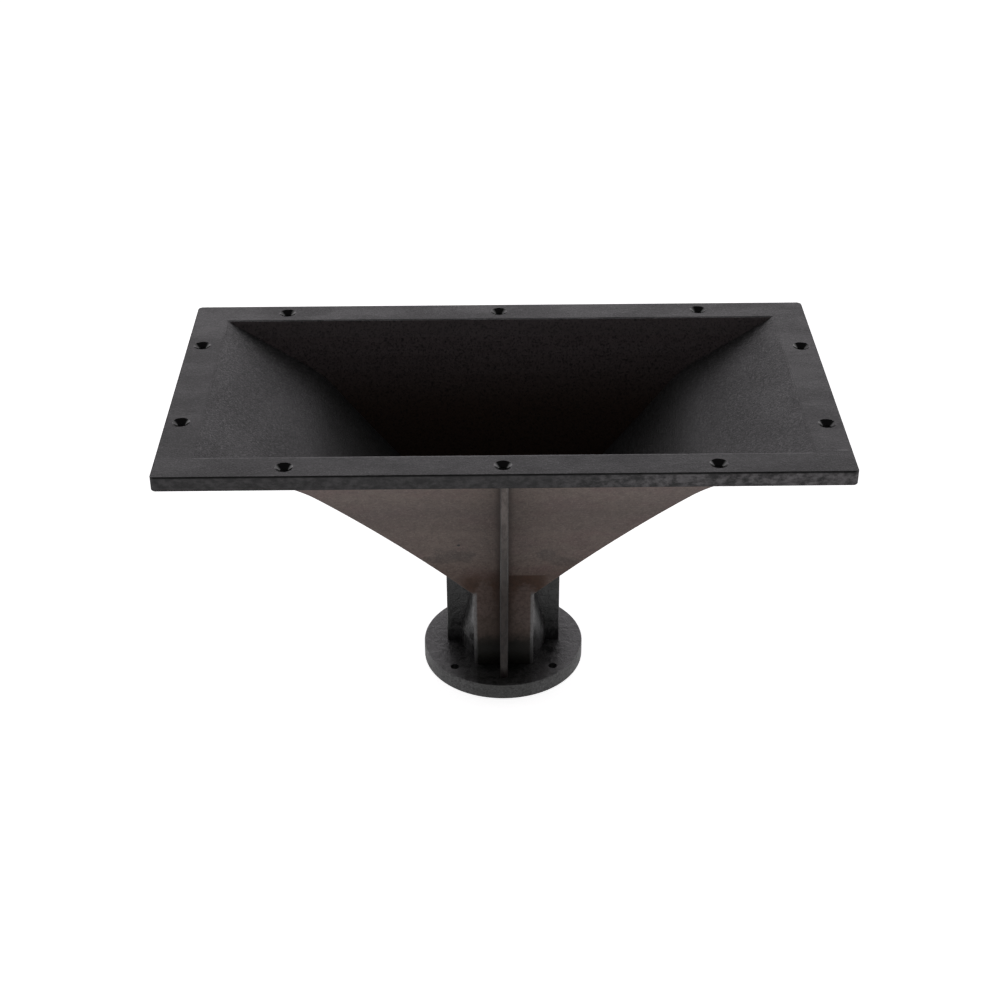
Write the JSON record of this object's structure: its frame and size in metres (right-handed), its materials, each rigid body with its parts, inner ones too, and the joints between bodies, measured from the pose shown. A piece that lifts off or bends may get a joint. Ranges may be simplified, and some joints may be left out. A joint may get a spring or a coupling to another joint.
{
  "type": "rectangular horn flare",
  "caption": "Rectangular loudspeaker horn with a flanged mouth, a waisted bell of bonded panels, upright ribs and a round throat flange for a compression driver.",
  "frame": {"origin": "centre of the throat flange's outer face, which the horn stands on", "axes": "+Z along the sound axis from throat to mouth, +X along the mouth's long side, +Y to the back"},
  "size_m": [0.45, 0.2476, 0.229],
  "materials": {
    "charcoal_plastic": "satin, finely grained charcoal",
    "brown_wall_plastic": "satin, smooth warm brown-grey, stained near the throat"
  },
  "bodies": {
    "root": {"mouth_flange": "charcoal_plastic", "throat_flange": "charcoal_plastic", "throat_neck": "charcoal_plastic", "back_wall": "brown_wall_plastic", "front_wall": "brown_wall_plastic", "right_wall": "charcoal_plastic", "left_wall": "charcoal_plastic", "back_rib": "brown_wall_plastic", "front_rib": "brown_wall_plastic", "right_fin": "charcoal_plastic", "left_fin": "charcoal_plastic"}
  },
  "joints": []
}
